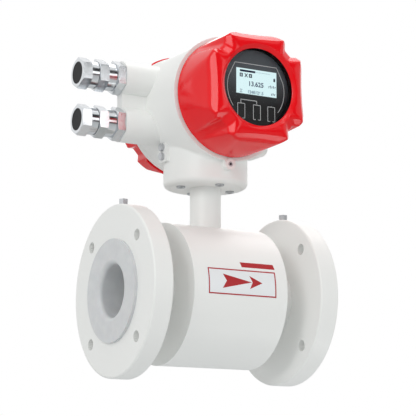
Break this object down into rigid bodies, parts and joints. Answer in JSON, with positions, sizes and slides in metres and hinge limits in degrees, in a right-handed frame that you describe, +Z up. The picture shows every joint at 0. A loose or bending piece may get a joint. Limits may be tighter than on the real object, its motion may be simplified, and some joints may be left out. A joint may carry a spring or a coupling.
{
  "type": "electromagnetic flow meter",
  "caption": "Flanged electromagnetic flow meter with a lined measuring tube, coil housing, neck and two-chamber converter with display, screwed red covers and cable glands.",
  "frame": {"origin": "centre of the flow bore, where the axis of the neck crosses it", "axes": "+X along the flow (inlet at -X, outlet at +X), -Y towards the display and the flow label, +Z up the neck to the converter"},
  "size_m": [0.2354, 0.1855, 0.3332],
  "materials": {
    "white_paint": "satin powder coat",
    "red_paint": "glossy enamel",
    "lining": "smooth moulded fluoropolymer",
    "electrode_steel": "polished",
    "bush_plastic": "moulded",
    "copper_wire": "enamelled winding",
    "magnet_iron": "laminated, bare",
    "screw_steel": "zinc plated",
    "black_rubber": "matt",
    "window_glass": "clear toughened",
    "anodised_ring": "black anodised",
    "panel_plastic": "printed polycarbonate",
    "lcd_panel": "backlit",
    "circuit_board": "solder mask",
    "module_plastic": "potted",
    "terminal_plastic": "moulded",
    "label_foil": "printed foil",
    "nickel_plate": "nickel plated, satin turned"
  },
  "bodies": {
    "meter_body": {"coil_housing": "white_paint", "converter_housing": "white_paint", "cover_lock_screw": "screw_steel", "display_board": "circuit_board", "display_panel": "panel_plastic", "display_posts": "screw_steel", "earth_screws": "screw_steel", "electrode_nuts": "screw_steel", "flow_label": "label_foil", "front_electrode": "electrode_steel", "front_electrode_bush": "bush_plastic", "head_screws": "screw_steel", "inlet_earth_screw": "screw_steel", "inlet_earth_screw_washer": "screw_steel", "inlet_end_plate": "white_paint", "inlet_flange": "white_paint", "lcd_screen": "lcd_panel", "liner": "lining", "lower_coil": "copper_wire", "lower_gland_body": "nickel_plate", "lower_gland_bush": "black_rubber", "lower_gland_entry": "nickel_plate", "lower_pole_piece": "magnet_iron", "magnet_yoke": "magnet_iron", "main_board": "circuit_board", "main_board_posts": "screw_steel", "measuring_tube": "white_paint", "neck_flange": "white_paint", "neck_gasket": "black_rubber", "neck_tube": "white_paint", "outlet_earth_screw": "screw_steel", "outlet_earth_screw_washer": "screw_steel", "outlet_end_plate": "white_paint", "outlet_flange": "white_paint", "power_module": "module_plastic", "rear_electrode": "electrode_steel", "rear_electrode_bush": "bush_plastic", "terminal_block": "terminal_plastic", "terminal_screws": "screw_steel", "upper_coil": "copper_wire", "upper_gland_body": "nickel_plate", "upper_gland_bush": "black_rubber", "upper_gland_entry": "nickel_plate", "upper_pole_piece": "magnet_iron"},
    "front_seal_carrier": {"front_cover_seal": "black_rubber"},
    "front_cover_body": {"front_cover": "red_paint", "window_glass": "window_glass", "window_gasket": "black_rubber", "window_ring": "anodised_ring"},
    "rear_seal_carrier": {"rear_cover_seal": "black_rubber"},
    "rear_cover_body": {"rear_cover": "red_paint"},
    "upper_disc_carrier": {"upper_gland_disc": "black_rubber"},
    "upper_nut_body": {"upper_gland_nut": "nickel_plate"},
    "lower_disc_carrier": {"lower_gland_disc": "black_rubber"},
    "lower_nut_body": {"lower_gland_nut": "nickel_plate"}
  },
  "joints": [
    {"name": "front_cover_travel", "type": "slide", "parent": "meter_body", "child": "front_seal_carrier", "axis": [0, -1, 0], "range_m": [0, 0.01005]},
    {"name": "front_cover_turn", "type": "hinge", "parent": "front_seal_carrier", "child": "front_cover_body", "pos_m": [0, 0, 0.188], "axis": [0, -1, 0], "range_deg": [0, 1800]},
    {"name": "rear_cover_travel", "type": "slide", "parent": "meter_body", "child": "rear_seal_carrier", "axis": [0, 1, 0], "range_m": [0, 0.01005]},
    {"name": "rear_cover_turn", "type": "hinge", "parent": "rear_seal_carrier", "child": "rear_cover_body", "pos_m": [0, 0, 0.188], "axis": [0, 1, 0], "range_deg": [0, 1800]},
    {"name": "upper_gland_nut_travel", "type": "slide", "parent": "meter_body", "child": "upper_disc_carrier", "axis": [-1, 0, 0], "range_m": [0, 0.00605]},
    {"name": "upper_gland_nut_turn", "type": "hinge", "parent": "upper_disc_carrier", "child": "upper_nut_body", "pos_m": [-0.12, 0.017, 0.211], "axis": [-1, 0, 0], "range_deg": [0, 1440]},
    {"name": "lower_gland_nut_travel", "type": "slide", "parent": "meter_body", "child": "lower_disc_carrier", "axis": [-1, 0, 0], "range_m": [0, 0.00605]},
    {"name": "lower_gland_nut_turn", "type": "hinge", "parent": "lower_disc_carrier", "child": "lower_nut_body", "pos_m": [-0.12, 0.017, 0.165], "axis": [-1, 0, 0], "range_deg": [0, 1440]}
  ],
  "couplings": [
    {"joint": "front_cover_travel", "follows": "front_cover_turn", "m_per_rad": 0.00031831},
    {"joint": "rear_cover_travel", "follows": "rear_cover_turn", "m_per_rad": 0.00031831},
    {"joint": "upper_gland_nut_travel", "follows": "upper_gland_nut_turn", "m_per_rad": 0.00023873},
    {"joint": "lower_gland_nut_travel", "follows": "lower_gland_nut_turn", "m_per_rad": 0.00023873}
  ]
}
